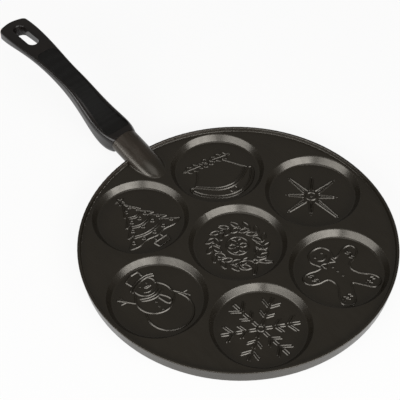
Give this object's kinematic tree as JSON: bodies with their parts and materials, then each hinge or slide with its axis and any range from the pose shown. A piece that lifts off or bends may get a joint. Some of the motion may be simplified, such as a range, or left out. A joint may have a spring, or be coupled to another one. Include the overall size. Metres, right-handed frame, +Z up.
{
  "type": "pancake pan",
  "caption": "Round cast pan with shallow wells for small pancakes, a raised rim and a long rising moulded grip with a hanging slot.",
  "frame": {"origin": "middle of the base, on the surface the pan stands on", "axes": "+X runs from the middle of the pan along the grip, +Z is up, +Y completes a right-handed frame"},
  "size_m": [0.4559, 0.2656, 0.0449],
  "materials": {
    "coated_aluminium": "cast aluminium under a dark satin nonstick coating",
    "grip_plastic": "heat resistant moulded plastic, satin sides with a matte stippled thumb panel",
    "zinc_steel": "zinc plated"
  },
  "bodies": {
    "root": {"pan_casting": "coated_aluminium", "handle_grip": "grip_plastic", "handle_screw": "zinc_steel", "flat_washer": "zinc_steel", "spring_washer": "zinc_steel"}
  },
  "joints": []
}
